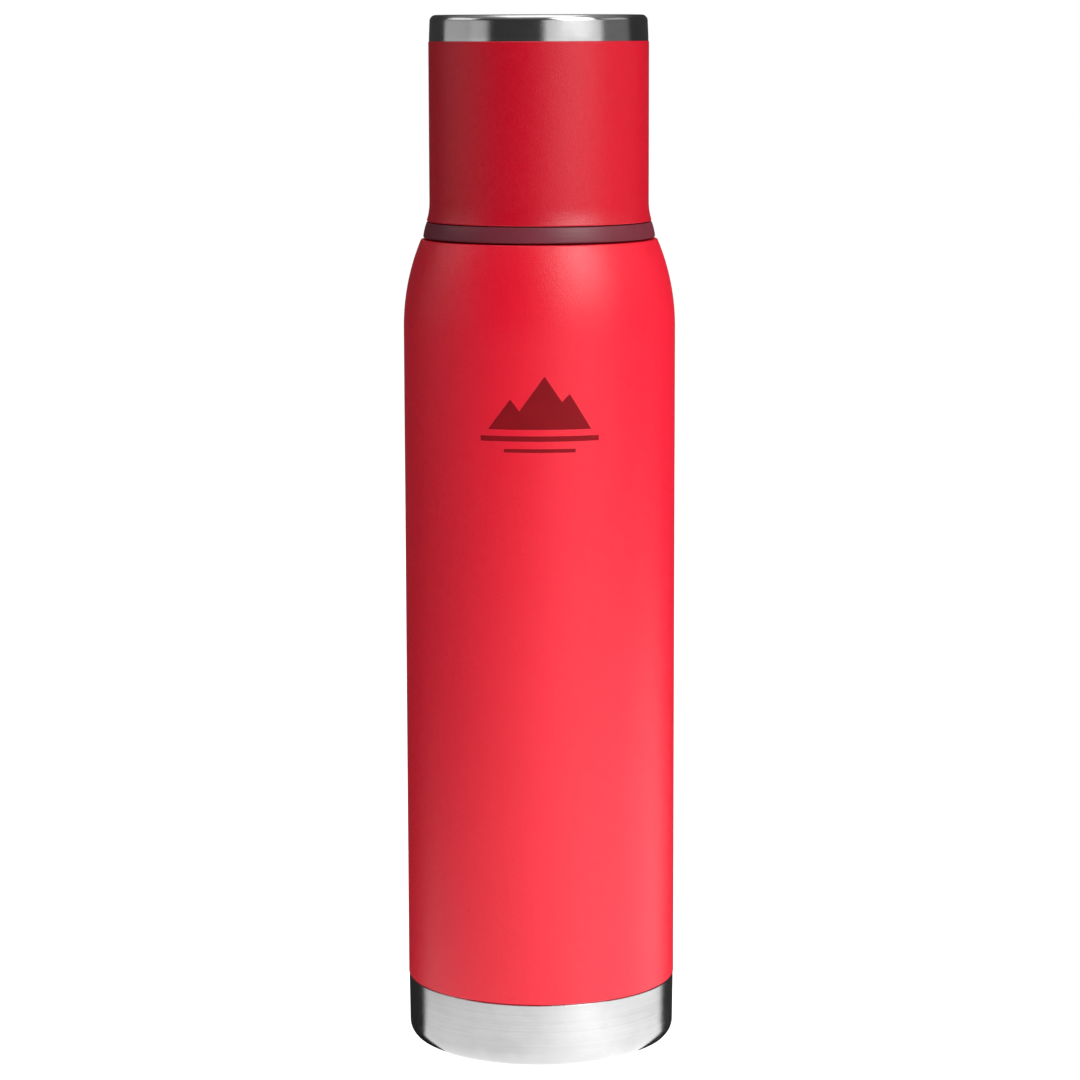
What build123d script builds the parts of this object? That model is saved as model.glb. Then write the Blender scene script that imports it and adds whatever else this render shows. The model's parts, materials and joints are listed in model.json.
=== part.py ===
from build123d import *
import os

# Vacuum-insulated drinking bottle, one litre. A double-walled steel vessel is closed by a pour-through
# stopper that screws into its neck, and a double-walled steel cup screws over the stopper.
# Frame: +Z up along the bottle's axis, origin at the centre of the foot, millimetres.
# Every wall is drawn as one surface of the sheet and given its thickness by an offset.

# ---------------------------------------------------------------- driving dimensions
BODY_R = 42.5            # over the powder coat
BOTTLE_H = 324.4
SHELL_T = 0.5            # outer wall of the vessel with its coat
LINER_T = 0.4            # inner wall of the vessel
VACUUM_GAP = 3.1         # between the two walls of the body

# vessel, outer wall
BAND_TOP = 20.4          # top of the bare steel band, where the base cup is welded on
BAND_R = 42.35
BAND_STRAIGHT = 2.0      # below this the band has a slight draft
BAND_FOOT_R = 42.1
BASE_CORNER_R = 6.5
FOOT_INNER_R = 32.6      # the foot is a flat ring
RECESS_R = 31.4
RECESS_H = 3.0
SHOULDER_START = 227.8
SHOULDER_ARC_R = 70.0
SHELF_Z = 255.3          # flat top of the shoulder
SHOULDER_ANGLE = 22.9    # degrees of the shoulder's arc
NECK_R = 26.6
LIP_Z = 268.0

# vessel, inner wall
LINER_R = BODY_R - SHELL_T - VACUUM_GAP
LINER_WELD_Z = 14.0
LINER_FLOOR_Z = 8.6
LINER_SHOULDER_Z = 238.5
LEDGE_R = 22.2           # narrowest ring of the neck, which the lower gasket seals on
LEDGE_Z = 250.7
BORE_FOOT_Z = 254.6
NECK_BORE_R = 23.7
LINER_NECK_R = NECK_BORE_R + LINER_T

# four-start threads of the neck and of the cup
STARTS = 4
LEAD = 16.0
PITCH = LEAD / STARTS
RIDGE_FOOT_W = 1.7       # width of a ridge at its root and at its crest
RIDGE_CREST_W = 0.8
ROOT_SINK = 0.25         # how far a ridge is rooted in its wall

# stopper
DECK_UNDER_Z = 269.2
DECK_Z = 272.0
BARREL_R = 29.4
BARREL_BORE_R = 27.2
COLLAR_FOOT_Z = 255.9
FLANGE_R = 33.0
FLANGE_Z = 260.2
PLUG_R = 22.3
PLUG_BORE_R = 20.45
PLUG_FOOT_Z = 249.0
PLUG_FLOOR_Z = 251.0
SEAT_R = 8.0
WINDOW_R = 15.0          # middle of the curved pour and vent windows
WINDOW_W = 6.0
POUR_ARC = 104.0         # degrees
VENT_ARC = 44.0

# twist valve
STEM_R = 5.0
BOSS_R = 9.0
BOSS_FOOT_Z = 262.8
BOSS_TOP_Z = 275.0
BOSS_BORE_R = 6.3
VALVE_STARTS = 2
VALVE_LEAD = 6.0
KNOB_R = 11.0
KNOB_FOOT_Z = 272.8
KNOB_DISC_Z = 281.0
KNOB_TOP_Z = 287.0
HEX_ACROSS_R = 4.2

# cup
CUP_R = 34.2
CUP_T = 0.5
CUP_RIM_Z = 260.9
CUP_BAND_Z = 316.4       # foot of the cup's bare steel end cap
CUP_CAP_R = 34.0
CUP_CAP_TOP_R = 33.7
FLARE_Z = 266.8
FLARE_ARC_R = 18.6
RIM_WELD_R = 32.6
CUP_BORE_R = 30.95
CUP_LINER_T = 0.4
CUP_CEILING_Z = 319.5
CAP_PLATE_Z = 322.8

CLEAR = 0.1              # gap at a seal or between loose faces


# ---------------------------------------------------------------- shared shapes
def ring(inner_r, outer_r, low_z, high_z, edge=0.0):
    """Flat ring about the axis, its outer edges rounded by edge."""
    with BuildPart() as made:
        with BuildSketch(Plane.XY.offset(low_z)):
            Circle(outer_r)
            if inner_r > 0:
                Circle(inner_r, mode=Mode.SUBTRACT)
        extrude(amount=high_z - low_z)
        if edge > 0:
            outer = made.edges().filter_by(GeomType.CIRCLE).sort_by(SortBy.RADIUS)[-2:]
            fillet(outer, edge)
    return made.part


def ridges(root_r, height, first_z, arc, turn, starts, lead, foot_w, crest_w, outward):
    """Thread ridges, one for each start. first_z is the helix's height at angle zero, and each ridge
    runs from the angle turn through arc degrees. A ridge stands outward or inward from root_r."""
    side = 1 if outward else -1
    with BuildPart() as made:
        with BuildLine() as path:
            helix = Helix(pitch=lead, height=lead * arc / 360, radius=root_r)
        with BuildSketch(Plane(origin=helix @ 0, x_dir=(side, 0, 0), z_dir=helix % 0)):
            with BuildLine():
                Polyline(
                    (-ROOT_SINK, -foot_w / 2),
                    (0, -foot_w / 2),
                    (height, -crest_w / 2),
                    (height, crest_w / 2),
                    (0, foot_w / 2),
                    (-ROOT_SINK, foot_w / 2),
                    close=True,
                )
            make_face()
        sweep(path=path.wires()[0], is_frenet=True)
    first = Pos(0, 0, first_z + lead * turn / 360) * Rot(0, 0, turn) * made.part
    return [Rot(0, 0, 360 * k / starts) * first for k in range(starts)]


def curved_window(arc, middle):
    """Sketch of a curved slot about the axis, WINDOW_W wide, centred on the angle middle."""
    with BuildSketch(mode=Mode.PRIVATE) as made:
        Circle(WINDOW_R + WINDOW_W / 2)
        Circle(WINDOW_R - WINDOW_W / 2, mode=Mode.SUBTRACT)
        with BuildLine():
            span = CenterArc((0, 0), 2 * WINDOW_R, middle - arc / 2, arc)
            Line(span @ 0, (0, 0))
            Line((0, 0), span @ 1)
        make_face(mode=Mode.INTERSECT)
        fillet(made.vertices(), 1.5)
    return made.sketch


# ---------------------------------------------------------------- vessel, outer wall
with BuildPart() as outer_shell:
    with BuildSketch(Plane.XZ):
        with BuildLine() as wall:
            side = Line((BODY_R, BAND_TOP), (BODY_R, SHOULDER_START))
            shoulder = CenterArc(
                (BODY_R - SHOULDER_ARC_R, SHOULDER_START), SHOULDER_ARC_R, 0, SHOULDER_ANGLE
            )
            shelf = Line(shoulder @ 1, (NECK_R, SHELF_Z))
            Line(shelf @ 1, (NECK_R, LIP_Z - LINER_T))
            corners = [wall.vertices().sort_by_distance(p)[0] for p in (shoulder @ 1, shelf @ 1)]
            fillet(corners, 0.8)
            offset(amount=SHELL_T, side=Side.LEFT)
        make_face()
    revolve(axis=Axis.Z)

# The base cup is the bare steel end of the outer wall: band, foot ring, recess and sealing dimple.
DIMPLE_R = 6.0
DIMPLE_FLOOR_R = 4.4
DIMPLE_Z = 4.9
EVACUATION_R = 0.8

with BuildPart() as base_cup:
    with BuildSketch(Plane.XZ):
        with BuildLine():
            FilletPolyline(
                (BAND_R, BAND_TOP),
                (BAND_R, BAND_TOP - BAND_STRAIGHT),
                (BAND_FOOT_R, 0),
                (FOOT_INNER_R, 0),
                (RECESS_R, RECESS_H),
                (DIMPLE_R, RECESS_H),
                (DIMPLE_FLOOR_R, DIMPLE_Z),
                (EVACUATION_R, DIMPLE_Z),
                radius=[20.0, BASE_CORNER_R, 1.0, 1.0, 0.7, 0.7],
            )
            offset(amount=SHELL_T, side=Side.RIGHT)
        make_face()
    revolve(axis=Axis.Z)

with BuildPart() as bottom_cover:
    add(ring(0, RECESS_R - 1.2, RECESS_H - 0.5, RECESS_H, edge=0.2))

with BuildPart() as base_vacuum_seal:
    with BuildSketch(Plane.XY.offset(DIMPLE_Z)):
        Circle(3.4)
    extrude(amount=-1.5)
    fillet(base_vacuum_seal.edges().group_by(Axis.Z)[0], 0.9)

# ---------------------------------------------------------------- vessel, inner wall
NECK_THREAD_Z = 258.0
NECK_RIDGE_H = 1.05
NECK_RIDGE_ARC = 100.0

with BuildPart() as inner_liner:
    with BuildSketch(Plane.XZ):
        with BuildLine():
            FilletPolyline(
                (LINER_R, LINER_WELD_Z),
                (LINER_R, LINER_SHOULDER_Z),
                (LEDGE_R, LEDGE_Z),
                (LINER_NECK_R, BORE_FOOT_Z),
                (LINER_NECK_R, LIP_Z - LINER_T),
                (NECK_R, LIP_Z - LINER_T),
                radius=[14.0, 1.5, 1.5, 0.2],
            )
            offset(amount=LINER_T, side=Side.LEFT)
        make_face()
    revolve(axis=Axis.Z)
    add(
        ridges(
            NECK_BORE_R, NECK_RIDGE_H, NECK_THREAD_Z, NECK_RIDGE_ARC, 0,
            STARTS, LEAD, RIDGE_FOOT_W, RIDGE_CREST_W, outward=False,
        )
    )

with BuildPart() as liner_base:
    with BuildSketch(Plane.XZ):
        with BuildLine():
            FilletPolyline(
                (LINER_R, LINER_WELD_Z), (LINER_R, LINER_FLOOR_Z), (0, LINER_FLOOR_Z), radius=[5.0]
            )
            offset(amount=LINER_T, side=Side.RIGHT)
        make_face()
    revolve(axis=Axis.Z)

# Copper foil wrapped round the liner, and the getter pill with its spot-welded clip, all in the vacuum.
FOIL_T = 0.1
GETTER_X = 18.0
GETTER_R = 4.0
GETTER_H = 2.0
CLIP_T = 0.3
CLIP_W = 5.0
PLATE_TOP = RECESS_H + SHELL_T

with BuildPart() as radiation_foil:
    add(ring(LINER_R + CLEAR, LINER_R + CLEAR + FOIL_T, BAND_TOP, SHOULDER_START))

with BuildPart() as getter:
    with BuildSketch(Plane.XY.offset(PLATE_TOP)):
        with Locations((GETTER_X, 0)):
            Circle(GETTER_R)
    extrude(amount=GETTER_H)
    fillet(getter.edges().group_by(Axis.Z)[-1], 0.4)

with BuildPart() as getter_clip:
    with BuildSketch(Plane.YZ.offset(GETTER_X - CLIP_W / 2)):
        with BuildLine():
            arch_r = GETTER_R + CLEAR
            top_z = PLATE_TOP + GETTER_H + CLEAR
            Polyline(
                (-arch_r - 3, PLATE_TOP),
                (-arch_r, PLATE_TOP),
                (-arch_r, top_z),
                (arch_r, top_z),
                (arch_r, PLATE_TOP),
                (arch_r + 3, PLATE_TOP),
            )
            offset(amount=CLIP_T, side=Side.LEFT)
        make_face()
    extrude(amount=CLIP_W)

# Soft ring lying on the shoulder under the collar.
with BuildPart() as shoulder_ring:
    add(ring(28.0, FLANGE_R - 0.2, SHELF_Z + CLEAR, COLLAR_FOOT_Z - CLEAR, edge=0.12))

# ---------------------------------------------------------------- stopper
CUP_THREAD_Z = 264.2
CUP_RIDGE_H = 1.1
BARREL_RIDGE_H = 1.2
BARREL_RIDGE_ARC = 70.0
PLUG_RIDGE_ARC = 60.0
GROOVE_DEPTH = 0.7       # of the joint between deck and plug
ORING_GROOVE_R = 7.1
ORING_GROOVE_Z = (264.4, 266.6)

with BuildPart() as stopper_body:
    with BuildSketch(Plane.XZ):
        with BuildLine():
            Polyline(
                (STEM_R + 0.25, BOSS_FOOT_Z),
                (BOSS_R, BOSS_FOOT_Z),
                (BOSS_R, DECK_UNDER_Z),
                (PLUG_BORE_R - CLEAR, DECK_UNDER_Z),
                (PLUG_BORE_R - CLEAR, DECK_UNDER_Z + GROOVE_DEPTH),
                (PLUG_R + CLEAR, DECK_UNDER_Z + GROOVE_DEPTH),
                (PLUG_R + CLEAR, DECK_UNDER_Z),
                (BARREL_BORE_R, DECK_UNDER_Z),
                (BARREL_BORE_R, COLLAR_FOOT_Z),
                (FLANGE_R, COLLAR_FOOT_Z),
                (FLANGE_R, FLANGE_Z),
                (BARREL_R, FLANGE_Z),
                (BARREL_R, DECK_Z),
                (BOSS_R, DECK_Z),
                (BOSS_R, BOSS_TOP_Z),
                (BOSS_BORE_R, BOSS_TOP_Z),
                (BOSS_BORE_R, ORING_GROOVE_Z[1] + 1.0),
                (STEM_R + 0.4, ORING_GROOVE_Z[1] + 1.0),
                (STEM_R + 0.4, ORING_GROOVE_Z[1]),
                (ORING_GROOVE_R, ORING_GROOVE_Z[1]),
                (ORING_GROOVE_R, ORING_GROOVE_Z[0]),
                (STEM_R + 0.25, ORING_GROOVE_Z[0]),
                close=True,
            )
        make_face()
    revolve(axis=Axis.Z)
    deck_rim = stopper_body.edges().filter_by(GeomType.CIRCLE).filter_by(
        lambda e: abs(e.radius - BARREL_R) < 0.01 and abs(e.center().Z - DECK_Z) < 0.01
    )
    fillet(deck_rim, 1.0)
    with BuildSketch(Plane.XY.offset(DECK_UNDER_Z)):
        add(curved_window(POUR_ARC, 0))
        add(curved_window(VENT_ARC, 180))
    extrude(amount=DECK_Z - DECK_UNDER_Z, mode=Mode.SUBTRACT)
    add(
        ridges(
            BARREL_R, BARREL_RIDGE_H, CUP_THREAD_Z, BARREL_RIDGE_ARC, 0,
            STARTS, LEAD, RIDGE_FOOT_W, RIDGE_CREST_W, outward=True,
        )
    )
    add(
        ridges(
            BOSS_BORE_R, 0.8, 268.6, 300, 0,
            VALVE_STARTS, VALVE_LEAD, 1.2, 0.6, outward=False,
        )
    )

# Coloured collar pressed round the stopper's flange: the ring that shows between cup and body.
with BuildPart() as collar_ring:
    with BuildSketch(Plane.XZ) as collar_face:
        with BuildLine():
            foot = Line((FLANGE_R + 0.05, COLLAR_FOOT_Z), (36.25, COLLAR_FOOT_Z))
            face = ThreePointArc(foot @ 1, (35.88, 258.1), (35.1, FLANGE_Z + 0.2))
            Line(face @ 1, (FLANGE_R + 0.05, FLANGE_Z + 0.2))
            Line((FLANGE_R + 0.05, FLANGE_Z + 0.2), foot @ 0)
        make_face()
        fillet([collar_face.vertices().sort_by_distance(face @ 0)[0]], 0.35)
        fillet([collar_face.vertices().sort_by_distance(face @ 1)[0]], 0.6)
    revolve(axis=Axis.Z)

# Plug: the threaded cup under the deck. Liquid enters through the seat in its floor.
with BuildPart() as plug_shell:
    with BuildSketch(Plane.XZ):
        with BuildLine():
            Polyline(
                (PLUG_R, DECK_UNDER_Z + GROOVE_DEPTH),
                (PLUG_R, 252.2),
                (20.2, 252.2),
                (20.2, 249.8),
                (21.0, 249.8),
                (21.0, PLUG_FOOT_Z),
                (SEAT_R, PLUG_FOOT_Z),
                (SEAT_R, PLUG_FLOOR_Z - 0.5),
                (SEAT_R + 0.5, PLUG_FLOOR_Z),
                (18.4, PLUG_FLOOR_Z),
                (PLUG_BORE_R, 253.4),
                (PLUG_BORE_R, DECK_UNDER_Z + GROOVE_DEPTH),
                close=True,
            )
        make_face()
    revolve(axis=Axis.Z)
    add(
        ridges(
            PLUG_R, 1.05, NECK_THREAD_Z - PITCH / 2, PLUG_RIDGE_ARC, 20,
            STARTS, LEAD, RIDGE_FOOT_W, RIDGE_CREST_W, outward=True,
        )
    )

with BuildPart() as lip_gasket:
    add(ring(PLUG_R + 0.3, BARREL_BORE_R - 0.2, LIP_Z + CLEAR, DECK_UNDER_Z, edge=0.3))

with BuildPart() as plug_gasket:
    with BuildSketch(Plane.XZ):
        with BuildLine():
            Polyline((20.25, 249.9), (21.1, 249.9), (22.2, 252.1), (20.25, 252.1), close=True)
        make_face()
    revolve(axis=Axis.Z)

# ---------------------------------------------------------------- twist valve
with BuildPart() as stem_seal:
    with BuildSketch(Plane.XZ):
        with Locations((STEM_R + CLEAR + 0.9, sum(ORING_GROOVE_Z) / 2)):
            Circle(0.9)
    revolve(axis=Axis.Z)

with BuildPart() as valve_stem:
    with BuildSketch(Plane.XZ):
        with BuildLine():
            Polyline(
                (0, 250.2),
                (2.9, 250.2),
                (2.9, 253.6),
                (8.5, 253.6),
                (8.5, 255.2),
                (STEM_R, 255.2),
                (STEM_R, BOSS_TOP_Z),
                (0, BOSS_TOP_Z),
                close=True,
            )
        make_face()
    revolve(axis=Axis.Z)
    with BuildSketch(Plane.XY.offset(BOSS_TOP_Z)):
        RegularPolygon(HEX_ACROSS_R, 6)
    extrude(amount=4.5)
    add(
        ridges(
            STEM_R, 0.8, 268.6 + VALVE_LEAD / VALVE_STARTS / 2, 150, 40,
            VALVE_STARTS, VALVE_LEAD, 1.2, 0.6, outward=True,
        )
    )

with BuildPart() as valve_seal:
    with BuildSketch(Plane.XZ) as seal_face:
        with BuildLine():
            Polyline(
                (3.0, 249.4),
                (SEAT_R - 0.6, 249.4),
                (SEAT_R - 0.4, PLUG_FLOOR_Z + CLEAR),
                (SEAT_R + 2.0, PLUG_FLOOR_Z + CLEAR),
                (SEAT_R + 2.0, 253.6),
                (3.0, 253.6),
                close=True,
            )
        make_face()
        fillet(seal_face.vertices().sort_by(Axis.X)[-2:], 0.5)
    revolve(axis=Axis.Z)

with BuildPart() as pour_knob:
    with BuildSketch(Plane.XY.offset(KNOB_FOOT_Z)):
        Circle(KNOB_R)
    extrude(amount=KNOB_DISC_Z - KNOB_FOOT_Z)
    fillet(pour_knob.edges().group_by(Axis.Z)[-1], 1.2)
    with BuildSketch(Plane.XY.offset(KNOB_DISC_Z - 1.3)):
        SlotOverall(2 * KNOB_R - 3, 5.0)
    extrude(amount=KNOB_TOP_Z - KNOB_DISC_Z + 1.3, taper=4)
    fillet(pour_knob.edges().group_by(Axis.Z)[-1], 0.9)
    with BuildSketch(Plane.XY.offset(KNOB_FOOT_Z)):
        Circle(BOSS_R + 0.4)
    extrude(amount=BOSS_TOP_Z + 0.4 - KNOB_FOOT_Z, mode=Mode.SUBTRACT)
    with BuildSketch(Plane.XY.offset(BOSS_TOP_Z + 0.4)):
        RegularPolygon(HEX_ACROSS_R + 0.05, 6)
    extrude(amount=4.3, mode=Mode.SUBTRACT)

# ---------------------------------------------------------------- cup
# Soft ring on the stopper's flange, which the cup's rim comes down on.
with BuildPart() as rim_seal:
    add(ring(BARREL_R + 0.2, FLANGE_R - 0.2, FLANGE_Z + CLEAR, CUP_RIM_Z - CLEAR, edge=0.12))

with BuildPart() as cup_shell:
    with BuildSketch(Plane.XZ):
        with BuildLine() as wall:
            centre = Vector(CUP_R + FLARE_ARC_R, FLARE_Z)
            drop = FLARE_Z - CUP_RIM_Z
            foot_x = centre.X - (FLARE_ARC_R**2 - drop**2) ** 0.5
            rim = Line((RIM_WELD_R, CUP_RIM_Z), (foot_x, CUP_RIM_Z))
            flare = RadiusArc(rim @ 1, (CUP_R, FLARE_Z), -FLARE_ARC_R)
            Line(flare @ 1, (CUP_R, CUP_BAND_Z))
            fillet([wall.vertices().sort_by_distance(rim @ 1)[0]], 0.7)
            offset(amount=CUP_T, side=Side.LEFT)
        make_face()
    revolve(axis=Axis.Z)

with BuildPart() as cup_end_cap:
    with BuildSketch(Plane.XZ):
        with BuildLine():
            FilletPolyline(
                (CUP_CAP_R, CUP_BAND_Z),
                (CUP_CAP_R, CUP_BAND_Z + 1.0),
                (CUP_CAP_TOP_R, BOTTLE_H),
                (29.5, BOTTLE_H),
                (28.4, CAP_PLATE_Z),
                (5.6, CAP_PLATE_Z),
                (4.4, CAP_PLATE_Z - 1.6),
                (EVACUATION_R, CAP_PLATE_Z - 1.6),
                radius=[10.0, 1.9, 0.8, 0.7, 0.6, 0.6],
            )
            offset(amount=CUP_T, side=Side.LEFT)
        make_face()
    revolve(axis=Axis.Z)

with BuildPart() as cup_cover_disc:
    add(ring(0, 27.2, CAP_PLATE_Z, CAP_PLATE_Z + 0.4, edge=0.15))

with BuildPart() as cup_vacuum_seal:
    with BuildSketch(Plane.XY.offset(CAP_PLATE_Z - 1.6)):
        Circle(3.2)
    extrude(amount=1.2)
    fillet(cup_vacuum_seal.edges().group_by(Axis.Z)[-1], 0.7)

with BuildPart() as cup_liner:
    with BuildSketch(Plane.XZ):
        with BuildLine():
            FilletPolyline(
                (RIM_WELD_R, CUP_RIM_Z),
                (CUP_BORE_R, CUP_RIM_Z),
                (CUP_BORE_R, CUP_CEILING_Z),
                (0, CUP_CEILING_Z),
                radius=[0.8, 4.0],
            )
            offset(amount=CUP_LINER_T, side=Side.RIGHT)
        make_face()
    revolve(axis=Axis.Z)
    add(
        ridges(
            CUP_BORE_R, CUP_RIDGE_H, CUP_THREAD_Z - PITCH / 2, NECK_RIDGE_ARC, 20,
            STARTS, LEAD, RIDGE_FOOT_W, RIDGE_CREST_W, outward=False,
        )
    )

with BuildPart() as cup_getter:
    with BuildSketch(Plane.XY.offset(CUP_CEILING_Z + CUP_LINER_T)):
        with Locations((GETTER_X, 0)):
            Circle(3.5)
    extrude(amount=1.6)

# ---------------------------------------------------------------- export
PIECES = {
    "outer_shell": outer_shell,
    "base_cup": base_cup,
    "bottom_cover": bottom_cover,
    "base_vacuum_seal": base_vacuum_seal,
    "inner_liner": inner_liner,
    "liner_base": liner_base,
    "radiation_foil": radiation_foil,
    "getter": getter,
    "getter_clip": getter_clip,
    "shoulder_ring": shoulder_ring,
    "stopper_body": stopper_body,
    "collar_ring": collar_ring,
    "plug_shell": plug_shell,
    "lip_gasket": lip_gasket,
    "plug_gasket": plug_gasket,
    "stem_seal": stem_seal,
    "valve_stem": valve_stem,
    "valve_seal": valve_seal,
    "pour_knob": pour_knob,
    "rim_seal": rim_seal,
    "cup_shell": cup_shell,
    "cup_end_cap": cup_end_cap,
    "cup_cover_disc": cup_cover_disc,
    "cup_vacuum_seal": cup_vacuum_seal,
    "cup_liner": cup_liner,
    "cup_getter": cup_getter,
}

os.makedirs("parts", exist_ok=True)
for name, piece in PIECES.items():
    piece.part.label = name
    export_step(piece.part, f"parts/{name}.step")
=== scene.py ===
import json
import math

import bpy
from mathutils import Matrix, Vector


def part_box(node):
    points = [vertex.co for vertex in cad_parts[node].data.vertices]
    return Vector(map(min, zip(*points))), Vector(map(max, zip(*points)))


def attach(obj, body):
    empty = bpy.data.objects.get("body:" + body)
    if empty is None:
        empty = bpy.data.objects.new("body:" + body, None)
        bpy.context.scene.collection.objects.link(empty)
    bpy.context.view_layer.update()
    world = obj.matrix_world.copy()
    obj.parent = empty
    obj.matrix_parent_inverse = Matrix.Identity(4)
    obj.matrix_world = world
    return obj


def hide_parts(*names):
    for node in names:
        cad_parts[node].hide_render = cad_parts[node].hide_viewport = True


# The looks of a vacuum-insulated bottle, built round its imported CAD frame. The bottle's lengths are in
# millimetres until a mesh is made, and the studio's are in metres. Most heights come from the CAD nodes'
# boxes.
MM = 0.001

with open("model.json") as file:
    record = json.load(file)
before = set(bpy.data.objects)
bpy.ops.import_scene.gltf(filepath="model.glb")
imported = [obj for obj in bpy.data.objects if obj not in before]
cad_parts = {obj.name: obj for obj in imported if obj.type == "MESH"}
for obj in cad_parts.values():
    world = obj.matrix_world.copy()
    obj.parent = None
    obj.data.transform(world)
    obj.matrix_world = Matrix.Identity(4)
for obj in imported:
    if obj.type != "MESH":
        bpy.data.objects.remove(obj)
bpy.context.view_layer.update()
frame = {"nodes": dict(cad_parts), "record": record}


def low(node):
    """Lowest height of a CAD node, in millimetres."""
    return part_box(node)[0].z / MM


def high(node):
    """Highest height of a CAD node, in millimetres."""
    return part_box(node)[1].z / MM


def radius(node):
    """Largest radius of a CAD node that is round about the axis, in millimetres."""
    return round(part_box(node)[1].x / MM, 2)


# ---------------------------------------------------------------- node materials
class Nodes:
    """Short hand for building one material's node tree."""

    def __init__(self, name):
        self.material = bpy.data.materials.new(name)
        self.material.use_nodes = True
        self.tree = self.material.node_tree
        self.shader = self.tree.nodes["Principled BSDF"]
        self.place = self.add("ShaderNodeTexCoord").outputs["Object"]

    def add(self, kind, **settings):
        node = self.tree.nodes.new(kind)
        for key, value in settings.items():
            setattr(node, key, value)
        return node

    def link(self, source, target):
        self.tree.links.new(source, target)

    def math(self, operation, a, b=None):
        node = self.add("ShaderNodeMath", operation=operation)
        for socket, value in zip(node.inputs, (a, b)):
            if value is None:
                continue
            if isinstance(value, (int, float)):
                socket.default_value = value
            else:
                self.link(value, socket)
        return node.outputs[0]

    def noise(self, scale, detail=2.0, rough=0.5, vector=None, w=None):
        """Noise of the object's place, or of vector, at scale features per metre. w is a fourth axis."""
        node = self.add("ShaderNodeTexNoise")
        if w is not None:
            node.noise_dimensions = "4D"
            self.link(w, node.inputs["W"])
        node.inputs["Scale"].default_value = scale
        node.inputs["Detail"].default_value = detail
        node.inputs["Roughness"].default_value = rough
        self.link(vector or self.place, node.inputs["Vector"])
        return node.outputs["Fac"]

    def spread(self, value, low_in, high_in, low_out, high_out):
        """value's range from low_in to high_in laid out over low_out to high_out, and held at its ends."""
        node = self.add("ShaderNodeMapRange")
        for name, number in (
            ("From Min", low_in),
            ("From Max", high_in),
            ("To Min", low_out),
            ("To Max", high_out),
        ):
            node.inputs[name].default_value = number
        self.link(value, node.inputs["Value"])
        return node.outputs["Result"]

    def mix(self, factor, a, b):
        node = self.add("ShaderNodeMix", data_type="RGBA")
        if isinstance(factor, (int, float)):
            node.inputs["Factor"].default_value = factor
        else:
            self.link(factor, node.inputs["Factor"])
        for socket, value in ((node.inputs[6], a), (node.inputs[7], b)):
            if isinstance(value, tuple):
                socket.default_value = (*value, 1.0)
            else:
                self.link(value, socket)
        return node.outputs[2]

    def bump(self, height, distance_mm, strength=1.0, below=None):
        node = self.add("ShaderNodeBump")
        node.inputs["Strength"].default_value = strength
        node.inputs["Distance"].default_value = distance_mm * MM
        self.link(height, node.inputs["Height"])
        if below is not None:
            self.link(below, node.inputs["Normal"])
        return node.outputs["Normal"]

    def set(self, **values):
        """Plain values on the shader's own sockets."""
        for name, value in values.items():
            socket = self.shader.inputs[name.replace("_", " ")]
            socket.default_value = (*value, 1.0) if isinstance(value, tuple) else value

    def wire(self, **sources):
        for name, source in sources.items():
            self.link(source, self.shader.inputs[name.replace("_", " ")])


def powder_coat(name, colour, dark):
    """Fine grained powder coat: a sandy surface over a slow orange peel, with a slightly uneven gloss."""
    m = Nodes(name)
    grain = m.noise(2900, 2.0, 0.6)
    peel = m.noise(320, 2.0)
    cloud = m.noise(28, 2.0)
    tone = m.math("ADD", m.math("MULTIPLY", grain, 0.7), m.math("MULTIPLY", cloud, 0.3))
    m.set(Specular_IOR_Level=0.5, IOR=1.5, Coat_Weight=0.0)
    m.wire(
        Base_Color=m.mix(m.spread(tone, 0.3, 0.7, 0.0, 1.0), dark, colour),
        Roughness=m.spread(m.math("ADD", grain, peel), 0.6, 1.4, 0.27, 0.36),
        Normal=m.bump(grain, 0.10, 1.0, m.bump(peel, 0.03, 0.3)),
    )
    return m.material


BRUSH_STRETCH = 0.022  # how fast the noise changes along a brushed line, against across it


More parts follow.
